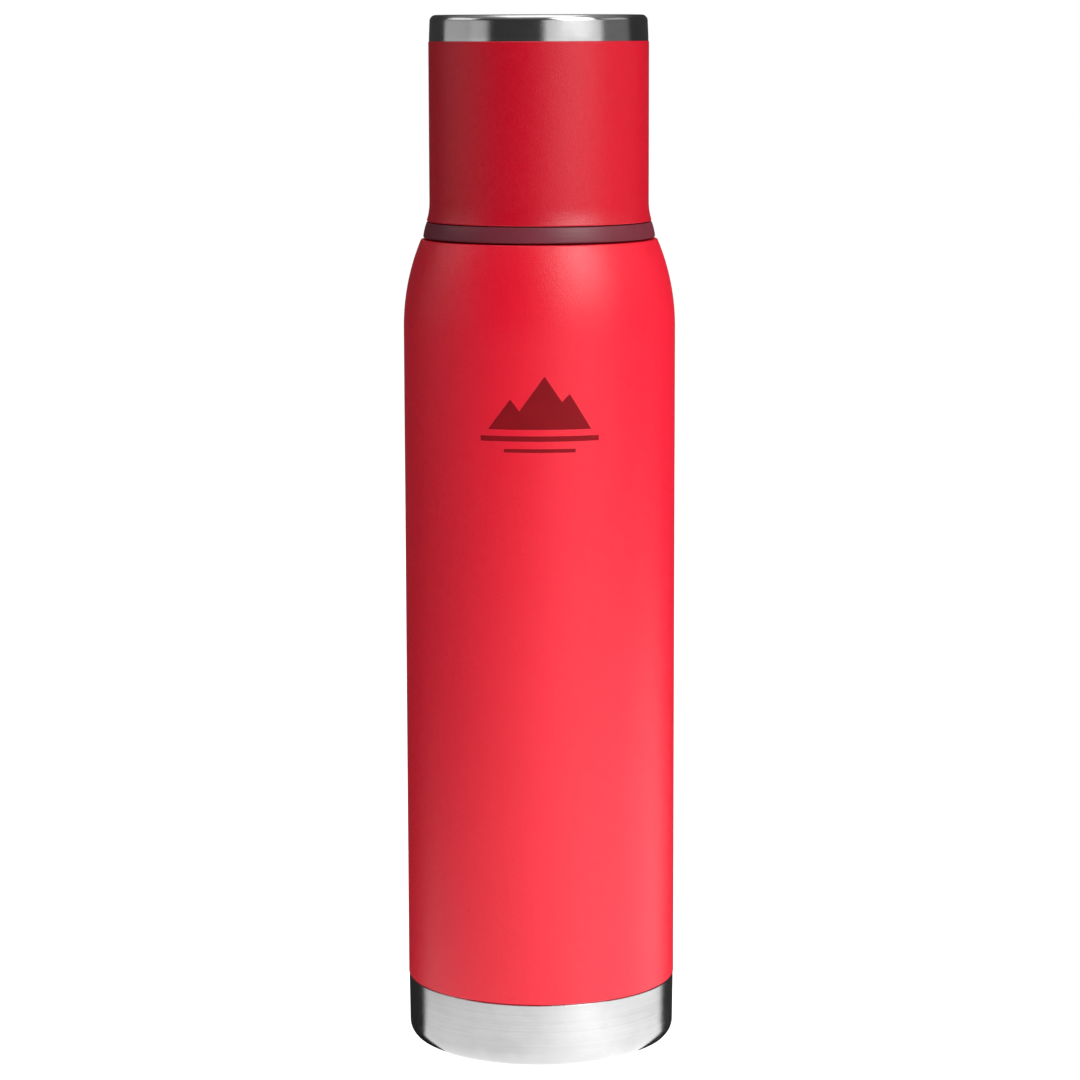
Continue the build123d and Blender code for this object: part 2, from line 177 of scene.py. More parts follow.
def turned_steel(name, colour, rough, line_mm, brushed=1.0, smudges=0.06):
    """Stainless steel brushed round the axis: fine lines that run with the turning, streaky gloss and faint
    handling marks. line_mm is the depth of the lines."""
    m = Nodes(name)
    split = m.add("ShaderNodeSeparateXYZ")
    m.link(m.place, split.inputs[0])
    x, y, z = split.outputs
    r = m.math("SQRT", m.math("ADD", m.math("MULTIPLY", x, x), m.math("MULTIPLY", y, y)))
    along = m.add("ShaderNodeCombineXYZ")
    m.link(m.math("MULTIPLY", x, BRUSH_STRETCH), along.inputs[0])
    m.link(m.math("MULTIPLY", y, BRUSH_STRETCH), along.inputs[1])
    m.link(z, along.inputs[2])
    fine = m.noise(2600, 3.0, 0.7, vector=along.outputs[0], w=m.math("MULTIPLY", r, 2600))
    broad = m.noise(700, 2.0, 0.5, vector=along.outputs[0], w=m.math("MULTIPLY", r, 700))
    marks = m.noise(60, 4.0, 0.6)
    fine_gloss = m.math("MULTIPLY", fine, 0.10 * brushed)
    gloss = m.math("ADD", fine_gloss, m.math("MULTIPLY", broad, 0.06 * brushed))
    m.set(Metallic=1.0, Anisotropic=0.75 * brushed, Anisotropic_Rotation=0.25)
    tangent = m.add("ShaderNodeTangent", direction_type="RADIAL", axis="Z")
    dark = tuple(0.84 * c for c in colour)
    lines = m.math("ADD", m.math("MULTIPLY", broad, 0.3), m.math("MULTIPLY", fine, 0.3))
    tone = m.math("ADD", lines, m.math("MULTIPLY", marks, 0.4))
    m.wire(
        Base_Color=m.mix(m.spread(tone, 0.42, 0.58, 0, 1), dark, colour),
        Roughness=m.math("ADD", m.math("ADD", gloss, rough), m.spread(marks, 0.5, 0.75, 0.0, smudges)),
        Normal=m.bump(fine, line_mm, 0.5 * brushed, m.bump(broad, line_mm, 0.3 * brushed)),
        Tangent=tangent.outputs[0],
    )
    return m.material


def moulded(name, colour, rough, spark=0.035, specular=0.5):
    """Moulded plastic or rubber with a spark-eroded grain and faint flow clouds."""
    m = Nodes(name)
    grain = m.noise(3400, 2.0, 0.55)
    flow = m.noise(60, 3.0, 0.6)
    m.set(Specular_IOR_Level=specular, IOR=1.5)
    dark = tuple(0.82 * c for c in colour)
    m.wire(
        Base_Color=m.mix(m.spread(flow, 0.35, 0.65, 0.0, 1.0), dark, colour),
        Roughness=m.spread(m.math("ADD", grain, flow), 0.6, 1.4, rough - 0.05, rough + 0.05),
        Normal=m.bump(grain, spark, 0.45),
    )
    return m.material


def foil(name, colour):
    """Thin metal foil with creases."""
    m = Nodes(name)
    crease = m.noise(120, 4.0, 0.7)
    m.set(Metallic=1.0)
    m.wire(
        Base_Color=m.mix(crease, tuple(0.85 * c for c in colour), colour),
        Roughness=m.spread(crease, 0.3, 0.7, 0.18, 0.34),
        Normal=m.bump(crease, 0.15, 0.8),
    )
    return m.material


# The body and the cup wear one red coat. The body's copy is painted lighter (painted light) and the cup's
# copy darker (painted shade), as the light falls off towards the top.
RED = powder_coat("red_powder_coat", (0.86, 0.0065, 0.030), (0.78, 0.0055, 0.026))
SHADED_CUP_RED = powder_coat("shaded_cup_powder_coat", (0.605, 0.0014, 0.018), (0.55, 0.0011, 0.015))
PRINT = moulded("maroon_print", (0.255, 0.0035, 0.009), 0.62, spark=0.03, specular=0.12)
BAND = turned_steel("brushed_band", (0.63, 0.63, 0.635), 0.09, 0.012)
BASE_BAND = turned_steel("base_brushed_band", (0.515, 0.515, 0.518), 0.14, 0.02)
DISC = turned_steel("turned_disc", (0.57, 0.57, 0.575), 0.20, 0.008)
POLISHED = turned_steel("polished_liner", (0.56, 0.56, 0.565), 0.16, 0.004, brushed=0.35)
MAROON = moulded("maroon_plastic", (0.172, 0.021, 0.037), 0.45, specular=0.42)
CHARCOAL = moulded("charcoal_plastic", (0.036, 0.036, 0.040), 0.46)
SILICONE = moulded("pale_silicone", (0.60, 0.58, 0.54), 0.52, spark=0.02, specular=0.4)
RUBBER = moulded("dark_rubber", (0.016, 0.016, 0.017), 0.6, spark=0.02, specular=0.35)
COPPER = foil("copper_foil", (0.80, 0.42, 0.27))
SINTER = moulded("sintered_getter", (0.13, 0.13, 0.14), 0.7, spark=0.08)
BEAD = moulded("fused_bead", (0.05, 0.032, 0.022), 0.22, spark=0.01)

SLOT_MATERIAL = {
    "red_coat": RED,
    "brushed_steel": BAND,
    "liner_steel": POLISHED,
    "maroon_plastic": MAROON,
    "charcoal_plastic": CHARCOAL,
    "pale_silicone": SILICONE,
    "dark_rubber": RUBBER,
    "copper_foil": COPPER,
    "getter": SINTER,
    "seal_glass": BEAD,
}
for part in frame["record"]["subparts"]:
    node = frame["nodes"][part["node"]]
    node.data.materials.clear()
    node.data.materials.append(SLOT_MATERIAL[part["material_slot"]])


# ---------------------------------------------------------------- outlines
def rounded(points, radii, step=7.5):
    """Polyline of (r, z) points with its inner corners rounded. radii goes with the inner points, and step
    is the turn in degrees between two points of an arc."""
    out = [Vector(points[0])]
    for before, corner, after, r in zip(points, points[1:], points[2:], radii):
        p, q, s = Vector(before), Vector(corner), Vector(after)
        u, v = (p - q).normalized(), (s - q).normalized()
        turn = math.pi - u.angle(v)
        if r <= 0 or turn < 1e-4:
            out.append(q)
            continue
        reach = min(r * math.tan(turn / 2), 0.49 * (p - q).length, 0.49 * (s - q).length)
        real_r = reach / math.tan(turn / 2)
        centre = q + (u + v).normalized() * (real_r / math.cos(turn / 2))
        start, end = q + u * reach - centre, q + v * reach - centre
        count = max(2, math.ceil(math.degrees(turn) / step))
        sense = 1 if start.x * end.y - start.y * end.x > 0 else -1
        for k in range(count + 1):
            a = sense * turn * k / count
            c, d = math.cos(a), math.sin(a)
            out.append(centre + Vector((start.x * c - start.y * d, start.x * d + start.y * c)))
    out.append(Vector(points[-1]))
    return [(p.x, p.y) for p in out]


def arc(centre, r, first, last, count):
    """Points of an arc about a centre, angles in degrees."""
    steps = [math.radians(first + (last - first) * k / count) for k in range(count + 1)]
    return [(centre[0] + r * math.cos(a), centre[1] + r * math.sin(a)) for a in steps]


def offset(points, distance):
    """The open polyline moved sideways, to its left for a positive distance."""
    out = []
    for k, p in enumerate(points):
        a = Vector(points[max(k - 1, 0)])
        b = Vector(points[min(k + 1, len(points) - 1)])
        if 0 < k < len(points) - 1:
            u, v = (Vector(p) - a).normalized(), (b - Vector(p)).normalized()
        else:
            u = v = (b - a).normalized()
        n = (Vector((-u.y, u.x)) + Vector((-v.y, v.x))).normalized()
        stretch = 1 / max(0.5, n.dot(Vector((-u.y, u.x))))
        q = Vector(p) + n * distance * stretch
        out.append((q.x, q.y))
    return out


EDGE = 0.12  # from the end of a long run to its supporting point


def supported(points, closed, longest=8.0):
    """Adds a point near each end of a long run, so that its smooth shading stays flat, and splits what is
    left of the run into pieces no longer than longest."""
    out = []
    count = len(points) if closed else len(points) - 1
    for k in range(count):
        a, b = Vector(points[k]), Vector(points[(k + 1) % len(points)])
        out.append((a.x, a.y))
        run = (b - a).length
        if run < 6 * EDGE:
            continue
        u = (b - a) / run
        inner = [EDGE]
        pieces = max(1, math.ceil((run - 2 * EDGE) / longest))
        inner += [EDGE + (run - 2 * EDGE) * j / pieces for j in range(1, pieces)]
        inner.append(run - EDGE)
        out += [tuple(a + u * d) for d in inner]
    if not closed:
        out.append(tuple(points[-1]))
    return out


# ---------------------------------------------------------------- meshes
SEGMENTS = 240
SHARP_EDGE = 40.0  # degrees


def finish_mesh(name, verts, faces, material):
    mesh = bpy.data.meshes.new(name)
    mesh.from_pydata([tuple(c * MM for c in v) for v in verts], [], faces)
    mesh.validate()
    piece = bpy.data.objects.new(name, mesh)
    bpy.context.scene.collection.objects.link(piece)
    mesh.materials.append(material)
    mesh.shade_smooth()
    mesh.set_sharp_from_angle(angle=math.radians(SHARP_EDGE))
    return piece


def mount_piece(piece, body, slot, *nodes):
    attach(piece, body)
    if nodes:
        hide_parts(*nodes)
    return piece


def loft(name, rings, material, closed):
    """Skin over rings of equally many points. A ring of one point is a pole, and closed joins the last ring
    to the first."""
    verts, faces, starts = [], [], []
    for ring in rings:
        starts.append(len(verts))
        verts += ring
    pairs = list(zip(range(len(rings)), range(1, len(rings))))
    if closed:
        pairs.append((len(rings) - 1, 0))
    for i, j in pairs:
        a, b = starts[i], starts[j]
        n, m = len(rings[i]), len(rings[j])
        for k in range(max(n, m)):
            k2 = (k + 1) % max(n, m)
            if n == 1:
                faces.append((a, b + k2, b + k))
            elif m == 1:
                faces.append((a + k, a + k2, b))
            else:
                faces.append((a + k, a + k2, b + k2, b + k))
    return finish_mesh(name, verts, faces, material)


def lathe(name, outline, material, closed=True, relief=None):
    """Turns an outline of (r, z) points about the axis. An outline that runs anticlockwise in (r, z) gives
    outward faces. relief(angle, r, z) may move a point outward by what it returns."""
    rings = []
    for r, z in outline:
        if r < 1e-6:
            rings.append([(0.0, 0.0, z)])
            continue
        ring = []
        for k in range(SEGMENTS):
            a = 2 * math.pi * k / SEGMENTS
            at = r + (relief(a, r, z) if relief else 0.0)
            ring.append((at * math.cos(a), at * math.sin(a), z))
        rings.append(ring)
    return loft(name, rings, material, closed)


def sheet_outline(path, thickness):
    """Closed outline of a sheet whose first face is the open path and whose thickness lies to its left."""
    back = offset(path, thickness)
    return supported(path, False) + supported(back, False)[::-1]


# ---------------------------------------------------------------- threads
STARTS = 4
LEAD = 16.0
RIDGE_SWEEP = 100.0  # degrees, for each start
RIDGE_FOOT_W, RIDGE_CREST_W = 1.7, 0.8
RIDGE_TAPER = 7.0  # degrees at each end


def thread(first_z, turn, height):
    """Relief of thread ridges, positive outward for a positive height. first_z is the helix's height at
    angle zero, and each ridge starts at the angle turn and has rolled, tapered ends."""

    def relief(angle, r, z):
        total = 0.0
        for k in range(STARTS):
            along = (math.degrees(angle) - turn - 360.0 * k / STARTS) % 360.0
            if along > RIDGE_SWEEP:
                continue
            middle = first_z + LEAD * (along + turn) / 360.0
            away = abs(z - middle)
            if away >= RIDGE_FOOT_W / 2:
                continue
            side = min(1.0, (RIDGE_FOOT_W / 2 - away) / ((RIDGE_FOOT_W - RIDGE_CREST_W) / 2))
            end = min(1.0, along / RIDGE_TAPER, (RIDGE_SWEEP - along) / RIDGE_TAPER)
            smooth = side * side * (3 - 2 * side) * math.sqrt(max(0.0, end))
            total += height * smooth
        return total

    return relief


def fine_run(z_from, z_to, step=0.22):
    """Heights of a threaded stretch, close enough together to carry the ridges."""
    count = max(1, round(abs(z_to - z_from) / step))
    return [z_from + (z_to - z_from) * k / count for k in range(count + 1)]


# ---------------------------------------------------------------- vessel: coated wall
BODY_R = radius("outer_shell")
BAND_TOP = high("base_cup")
SHELF_Z = low("shoulder_ring") - 0.1
LIP_Z = high("inner_liner")
NECK_R = 26.6
SHOULDER_R = 70.0
SHOULDER_ANGLE = 23.12
SHOULDER_START = high("radiation_foil")
SHELL_T = 0.5

shoulder = arc((BODY_R - SHOULDER_R, SHOULDER_START), SHOULDER_R, 0.0, SHOULDER_ANGLE, 26)
coat_path = rounded(
    [(BODY_R - 0.42, BAND_TOP + 0.02), (BODY_R, BAND_TOP + 0.34), (BODY_R, BAND_TOP + 4)], [0.25]
)[:-1]
coat_path += [(BODY_R, SHOULDER_START)] + shoulder[1:]
coat_path = coat_path[:-1] + rounded(
    [coat_path[-2], (shoulder[-1][0], SHELF_Z), (NECK_R, SHELF_Z), (NECK_R, LIP_Z - 0.4)],
    [0.6, 0.8],
)[1:]
mount_piece(
    lathe("vessel_coat", sheet_outline(coat_path, SHELL_T), RED), "vessel", "red_coat", "outer_shell"
)

# ---------------------------------------------------------------- vessel: bare steel base
BAND_R = radius("base_cup")
BAND_STRAIGHT = 2.0  # below this the band has a slight draft
BAND_FOOT_R, FOOT_INNER_R = 42.1, 32.6  # the flat ring that it stands on, before its corners are rounded
RECESS_R, RECESS_H = 31.4, 3.0
DIMPLE_R, DIMPLE_FLOOR_R, DIMPLE_Z = 6.0, 4.4, 4.9
EVACUATION_R = 0.8
base_path = rounded(
    [
        (BAND_R - 0.35, BAND_TOP),
        (BAND_R, BAND_TOP - 0.3),
        (BAND_R, BAND_TOP - BAND_STRAIGHT),
        (BAND_FOOT_R, 0.0),
        (FOOT_INNER_R, 0.0),
        (RECESS_R, RECESS_H),
        (DIMPLE_R, RECESS_H),
        (DIMPLE_FLOOR_R, DIMPLE_Z),
        (EVACUATION_R, DIMPLE_Z),
    ],
    [0.2, 20.0, 6.5, 1.0, 1.0, 0.7, 0.7],
    step=5.0,
)
mount_piece(
    lathe("base_band", sheet_outline(base_path[::-1], SHELL_T), BASE_BAND),
    "vessel",
    "brushed_steel",
    "base_cup",
)


def cover_disc(name, body, node, r, face_z, back_z, rings):
    """Pressed cover disc: shallow turned steps, a rolled edge and a seam round it. rings are the inner and
    outer radii of the sunk steps."""
    up = 1 if face_z > back_z else -1
    path = [(0.0, face_z)]
    sunk_z = face_z - 0.12 * up
    for inner, outer in rings:
        path += [(inner - 0.5, face_z), (inner, sunk_z), (outer, sunk_z), (outer + 0.5, face_z)]
    path += [(r, face_z), (r, back_z), (0.0, back_z)]
    smooth = rounded(path, [0.4] * (len(path) - 4) + [0.15, 0.0], step=12.0)
    outline = supported(smooth, False, longest=4.0)
    if up > 0:
        outline = outline[::-1]
    return mount_piece(lathe(name, outline, DISC, closed=False), body, "brushed_steel", node)


cover_disc(
    "base_disc",
    "vessel",
    "bottom_cover",
    radius("bottom_cover"),
    low("bottom_cover"),
    high("bottom_cover"),
    [(21.0, 26.5)],
)

# ---------------------------------------------------------------- vessel: polished inner wall
LINER_R = radius("inner_liner")
LINER_T = 0.4
NECK_BORE_R = 23.7
WELD_Z = low("inner_liner")
LINER_SHOULDER_Z, LEDGE_Z, BORE_FOOT_Z = 238.5, 250.7, 254.6
LEDGE_R = 22.2  # narrowest ring of the neck, at the back of its wall
NECK_THREAD_Z0, NECK_THREAD_Z1 = 256.2, 264.4
liner_wall = rounded(
    [
        (LINER_R - LINER_T, WELD_Z),
        (LINER_R - LINER_T, LINER_SHOULDER_Z),
        (LEDGE_R - LINER_T, LEDGE_Z),
        (NECK_BORE_R, BORE_FOOT_Z),
        (NECK_BORE_R, NECK_THREAD_Z0),
    ],
    [13.6, 1.9, 1.1],
)
threaded = [(NECK_BORE_R, z) for z in fine_run(NECK_THREAD_Z0, NECK_THREAD_Z1)[1:]]
liner_in = supported(liner_wall[:-1], False) + threaded
lip = rounded(
    [(NECK_BORE_R, NECK_THREAD_Z1), (NECK_BORE_R, LIP_Z), (NECK_R, LIP_Z), (NECK_R, LIP_Z - LINER_T)],
    [0.6, 0.25],
)[1:]
liner_back = rounded(
    [
        (NECK_R, LIP_Z - LINER_T),
        (NECK_BORE_R + LINER_T, LIP_Z - LINER_T),
        (NECK_BORE_R + LINER_T, BORE_FOOT_Z),
        (LEDGE_R, LEDGE_Z),
        (LINER_R, LINER_SHOULDER_Z),
        (LINER_R, WELD_Z),
    ],
    [0.2, 1.5, 1.5, 14.0],
)
neck_thread = thread(258.0, 0.0, -1.05)


def neck_relief(angle, r, z):
    """The rolled neck thread, on the inner face only."""
    return neck_thread(angle, r, z) if r < NECK_BORE_R + 0.05 else 0.0


mount_piece(
    lathe(
        "vessel_liner",
        (liner_in + supported(lip, False) + supported(liner_back, False)[1:])[::-1],
        POLISHED,
        relief=neck_relief,
    ),
    "vessel",
    "liner_steel",
    "inner_liner",
)
FLOOR_Z = low("liner_base")
floor_path = rounded([(0.0, FLOOR_Z), (LINER_R, FLOOR_Z), (LINER_R, WELD_Z)], [5.0])
mount_piece(
    lathe("vessel_floor", sheet_outline(floor_path, LINER_T), POLISHED, closed=False),
    "vessel",
    "liner_steel",
    "liner_base",
)

# ---------------------------------------------------------------- soft rings
def soft_ring(name, body, node, inner, slot, material, soft=0.18):
    """Gasket with softly rounded corners."""
    outer, z0, z1 = radius(node), low(node), high(node)
    soft = min(soft, 0.45 * (z1 - z0), 0.45 * (outer - inner))
    corners = [(inner, z0), (outer, z0), (outer, z1), (inner, z1)]
    middle = ((inner + outer) / 2, z0)
    path = rounded([middle] + corners[1:] + corners[:1] + [middle], [soft] * 4, step=15.0)[:-1]
    return mount_piece(lathe(name, supported(path, True), material), body, slot, node)


soft_ring("shoulder_gasket", "shoulder_seat", "shoulder_ring", 28.0, "dark_rubber", RUBBER)
soft_ring("rim_gasket", "cup_seat", "rim_seal", 29.6, "dark_rubber", RUBBER)
soft_ring("lip_washer", "stopper", "lip_gasket", 22.6, "pale_silicone", SILICONE, 0.35)

# ---------------------------------------------------------------- collar
COLLAR_Z0, COLLAR_Z1 = low("collar_ring"), high("collar_ring")
COLLAR_BORE_R = 33.05
collar_path = rounded(
    [
        (COLLAR_BORE_R, (COLLAR_Z0 + COLLAR_Z1) / 2),
        (COLLAR_BORE_R, COLLAR_Z0),
        (33.9, COLLAR_Z0),
        (34.1, COLLAR_Z0 - 0.35),
        (35.3, COLLAR_Z0 - 0.35),
        (36.25, COLLAR_Z0 + 0.1),
        (35.98, COLLAR_Z0 + 1.7),
        (35.62, COLLAR_Z0 + 3.2),
        (35.1, COLLAR_Z1 + 0.25),
        (33.4, COLLAR_Z1 + 0.25),
        (COLLAR_BORE_R, COLLAR_Z1),
        (COLLAR_BORE_R, (COLLAR_Z0 + COLLAR_Z1) / 2),
    ],
    [0.15, 0.1, 0.1, 0.5, 0.5, 3.0, 3.0, 0.35, 0.1, 0.1],
    step=6.0,
)[:-1]
mount_piece(
    lathe("collar", supported(collar_path, True), MAROON), "stopper", "maroon_plastic", "collar_ring"
)

# ---------------------------------------------------------------- cup
CUP_Z0, CUP_BAND_Z = low("cup_shell"), high("cup_shell")
CUP_R = 34.2
CUP_T = 0.5
RIM_WELD_R = 32.6  # where the cup's two walls meet
FLARE_Z, FLARE_R = 266.8, 18.6  # where the flare begins, and the radius of its arc
drop = math.degrees(math.asin((FLARE_Z - CUP_Z0) / FLARE_R))
flare = arc((CUP_R + FLARE_R, FLARE_Z), FLARE_R, 180.0 + drop, 180.0, 14)
cup_path = rounded([(RIM_WELD_R, CUP_Z0), flare[0], flare[2]], [0.55], step=9.0)[:-1] + flare[2:]
cup_path += rounded(
    [(CUP_R, FLARE_Z + 1), (CUP_R, CUP_BAND_Z - 0.3), (CUP_R - 0.22, CUP_BAND_Z - 0.02)], [0.25]
)[1:]
# The cup wears the darker copy of the red coat, a painted shade.
mount_piece(lathe("cup_coat", sheet_outline(cup_path, CUP_T), SHADED_CUP_RED), "cup", "red_coat", "cup_shell")

CAP_TOP = high("cup_end_cap")
PLATE_Z = low("cup_cover_disc")
CAP_R, CAP_TOP_R = 34.0, 33.7
RIM_INNER_R, PLATE_R = 29.5, 28.4
CAP_DIMPLE_R, CAP_DIMPLE_DEPTH = 5.6, 1.6
cap_path = rounded(
    [
        (CAP_R, CUP_BAND_Z),
        (CAP_R, CUP_BAND_Z + 1.0),
        (CAP_TOP_R, CAP_TOP),
        (RIM_INNER_R, CAP_TOP),
        (PLATE_R, PLATE_Z),
        (CAP_DIMPLE_R, PLATE_Z),
        (DIMPLE_FLOOR_R, PLATE_Z - CAP_DIMPLE_DEPTH),
        (EVACUATION_R, PLATE_Z - CAP_DIMPLE_DEPTH),
    ],
    [10.0, 1.9, 0.8, 0.7, 0.6, 0.6],
    step=5.0,
)
mount_piece(
    lathe("cup_band", sheet_outline(cap_path, CUP_T), BAND), "cup", "brushed_steel", "cup_end_cap"
)
cover_disc(
    "cup_disc",
    "cup",
    "cup_cover_disc",
    radius("cup_cover_disc"),
    high("cup_cover_disc"),
    PLATE_Z,
    [(19.0, 24.0)],
)

CUP_BORE_R = 30.95
CUP_LINER_T = 0.4
CEILING_Z = high("cup_liner") - CUP_LINER_T
CUP_THREAD_Z0, CUP_THREAD_Z1 = 262.0, 269.4
cup_bore = rounded(
    [(RIM_WELD_R, CUP_Z0), (CUP_BORE_R, CUP_Z0), (CUP_BORE_R, CUP_THREAD_Z0)], [0.8]
)[:-1]
cup_bore += [(CUP_BORE_R, z) for z in fine_run(CUP_THREAD_Z0, CUP_THREAD_Z1)]
cup_top = rounded(
    [(CUP_BORE_R, CUP_THREAD_Z1), (CUP_BORE_R, CEILING_Z), (0.0, CEILING_Z)], [4.0]
)[1:]
cup_back = rounded(
    [
        (0.0, CEILING_Z + CUP_LINER_T),
        (CUP_BORE_R + CUP_LINER_T, CEILING_Z + CUP_LINER_T),
        (CUP_BORE_R + CUP_LINER_T, CUP_Z0 + CUP_LINER_T),
        (RIM_WELD_R, CUP_Z0 + CUP_LINER_T),
    ],
    [4.4, 0.4],
)
cup_thread = thread(262.2, 20.0, -1.1)


def cup_relief(angle, r, z):
    """The cup's rolled thread, on the inner face only."""
    return cup_thread(angle, r, z) if abs(r - CUP_BORE_R) < 0.05 else 0.0


cup_inside = cup_bore + supported([cup_bore[-1]] + cup_top, False)[1:]
cup_outside = supported(cup_back, False)[::-1]
mount_piece(
    lathe("cup_lining", cup_inside[::-1] + cup_outside, POLISHED, closed=False, relief=cup_relief),
    "cup",
    "liner_steel",
    "cup_liner",
)

# ---------------------------------------------------------------- printed mark
MARK_Z = 200.0
INK_IN, INK_OUT = BODY_R - 0.05, BODY_R + 0.02
INK_THINNEST = 0.02  # height where the mark's two lines meet


def height_at(line, x):
    """Height of a polyline of (x, z) points at x."""
    for (xa, za), (xb, zb) in zip(line, line[1:]):
        if xa <= x <= xb:
            return za + (zb - za) * (x - xa) / (xb - xa)
    return line[-1][1]


def ink_slab(low_line, high_line, step=0.5):
    """Closed thin slab on the body's front, between two polylines of (x, z) that share their ends in x."""
    first, last = low_line[0][0], low_line[-1][0]
    count = math.ceil((last - first) / step)
    xs = {first + (last - first) * k / count for k in range(count + 1)}
    xs = sorted(xs | {p[0] for p in low_line + high_line})
    verts, faces = [], []
    for x in xs:
        a = x / BODY_R
        foot = height_at(low_line, x)
        for r in (INK_IN, INK_OUT):
            for z in (foot, max(height_at(high_line, x), foot + INK_THINNEST)):
                verts.append((r * math.sin(a), -r * math.cos(a), z + MARK_Z))
    for k in range(len(xs) - 1):
        p, q = 4 * k, 4 * k + 4
        for i, j in ((0, 1), (1, 3), (3, 2), (2, 0)):
            faces.append((p + i, p + j, q + j, q + i))
    faces.append((0, 2, 3, 1))
    end = 4 * (len(xs) - 1)
    faces.append((end, end + 1, end + 3, end + 2))
    return verts, faces


def printed_mark():
    """Generic printed mark: three peaks over a ground line and its echo."""
    verts, faces = [], []
    for low_line, high_line in (
        (
            [(-16.0, 0.0), (16.0, 0.0)],
            [(-16.0, 0.0), (-9.0, 9.2), (-6.2, 5.6), (1.5, 16.2), (6.8, 8.4), (9.2, 10.8), (16.0, 0.0)],
        ),
        ([(-18.5, -3.6), (18.5, -3.6)], [(-18.5, -2.0), (18.5, -2.0)]),
        ([(-11.0, -7.0), (11.0, -7.0)], [(-11.0, -5.9), (11.0, -5.9)]),
    ):
        more_verts, more_faces = ink_slab(low_line, high_line)
        faces += [tuple(i + len(verts) for i in face) for face in more_faces]
        verts += more_verts
    return mount_piece(finish_mesh("printed_mark", verts, faces, PRINT), "vessel", "maroon_plastic")


printed_mark()

# ---------------------------------------------------------------- studio
def seen_by(piece, camera=False, diffuse=False, glossy=False):
    """Which rays a stage piece is there for. A stage piece casts no shadow."""
    piece.visible_camera = camera
    piece.visible_diffuse = diffuse
    piece.visible_glossy = glossy
    piece.visible_shadow = False
    piece.visible_transmission = False


def soft_box(name, azimuth, elevation, distance, width, height, radiance, target=(0, 0, 0.2)):
    """Area light of a given radiance, at an azimuth from the camera's side, positive to the right."""
    lamp = bpy.data.lights.new(name, "AREA")
    lamp.shape = "RECTANGLE"
    lamp.size, lamp.size_y = width, height
    lamp.energy = radiance * math.pi * width * height
    piece = bpy.data.objects.new(name, lamp)
    a, e = math.radians(azimuth), math.radians(elevation)
    away = Vector((math.sin(a) * math.cos(e), -math.cos(a) * math.cos(e), math.sin(e)))
    piece.location = Vector(target) + away * distance
    piece.rotation_euler = (-away).to_track_quat("-Z", "Y").to_euler()
    piece.visible_camera = False
    bpy.context.scene.collection.objects.link(piece)
    return piece


BAND_EYE = (0, 0, 0.32)  # the cup's steel band, where the low lights show
soft_box("key_low", 37.5, 0, 1.1, 1.35, 0.5, 1.0, BAND_EYE)
soft_box("key_high", 41, 36, 1.25, 0.7, 0.7, 7.4)
soft_box("left_panel", -84, 0, 1.2, 1.40, 0.3, 0.56, BAND_EYE)
soft_box("left_rim", -114, 0, 1.1, 0.05, 0.3, 0.3, BAND_EYE)
soft_box("left_inner", -64.5, 0, 1.1, 0.38, 0.3, 0.2, BAND_EYE)
soft_box("right_strip", 90, 0, 1.2, 0.8, 0.4, 0.15, BAND_EYE)
soft_box("left_high", -94, 31, 1.2, 0.8, 0.4, 1.35)
soft_box("right_high", 92, 28, 1.2, 0.7, 0.4, 0.6)
soft_box("top_box", 0, 90, 1.5, 1.0, 1.0, 1.7, (0, 0, 0))

# These two light the coat and the plastic but aren't mirrored, so that the steel keeps its streaks.
back_fill = soft_box("back_fill", 180, 22, 1.4, 1.5, 1.2, 2.1)
back_fill.visible_glossy = False
right_fill = soft_box("right_fill", 112, 8, 1.3, 0.8, 1.0, 1.3)
right_fill.visible_glossy = False

# The camera sees a white backdrop. The bottle is lit by a dim room and mirrors the room's paler ceiling.
world = bpy.data.worlds.new("studio")
bpy.context.scene.world = world
world.use_nodes = True
tree = world.node_tree
room = tree.nodes["Background"]
ray = tree.nodes.new("ShaderNodeLightPath")
toward = tree.nodes.new("ShaderNodeTexCoord")
height = tree.nodes.new("ShaderNodeSeparateXYZ")
tree.links.new(toward.outputs["Generated"], height.inputs[0])
ceiling = tree.nodes.new("ShaderNodeMapRange")
ceiling.inputs["From Min"].default_value = 0.45
ceiling.inputs["From Max"].default_value = 0.85
tree.links.new(height.outputs["Z"], ceiling.inputs["Value"])
mirrored = tree.nodes.new("ShaderNodeMath")
mirrored.operation = "MULTIPLY"
tree.links.new(ceiling.outputs["Result"], mirrored.inputs[0])
tree.links.new(ray.outputs["Is Glossy Ray"], mirrored.inputs[1])
walls = tree.nodes.new("ShaderNodeMix")
walls.data_type = "RGBA"
walls.inputs[6].default_value = (0.045, 0.045, 0.047, 1)
walls.inputs[7].default_value = (0.36, 0.36, 0.365, 1)
tree.links.new(mirrored.outputs[0], walls.inputs["Factor"])
tree.links.new(walls.outputs[2], room.inputs["Color"])
backdrop = tree.nodes.new("ShaderNodeBackground")
backdrop.inputs["Color"].default_value = (1.0, 1.0, 1.0, 1)
choose = tree.nodes.new("ShaderNodeMixShader")
tree.links.new(ray.outputs["Is Camera Ray"], choose.inputs[0])
tree.links.new(room.outputs[0], choose.inputs[1])
tree.links.new(backdrop.outputs[0], choose.inputs[2])
tree.links.new(choose.outputs[0], tree.nodes["World Output"].inputs["Surface"])


def stage_fan(name, apex, outer, first=0.0, last=360.0, steps=96):
    """Flat disc or sector on the floor about an apex, azimuths as for the lights."""
    verts = [apex]
    for k in range(steps + 1):
        a = math.radians(first + (last - first) * k / steps)
        verts.append((apex[0] + outer * math.sin(a), apex[1] - outer * math.cos(a), apex[2]))
    mesh = bpy.data.meshes.new(name)
    mesh.from_pydata(verts, [], [(0, k + 1, k + 2) for k in range(steps)])
    piece = bpy.data.objects.new(name, mesh)
    bpy.context.scene.collection.objects.link(piece)
    return piece


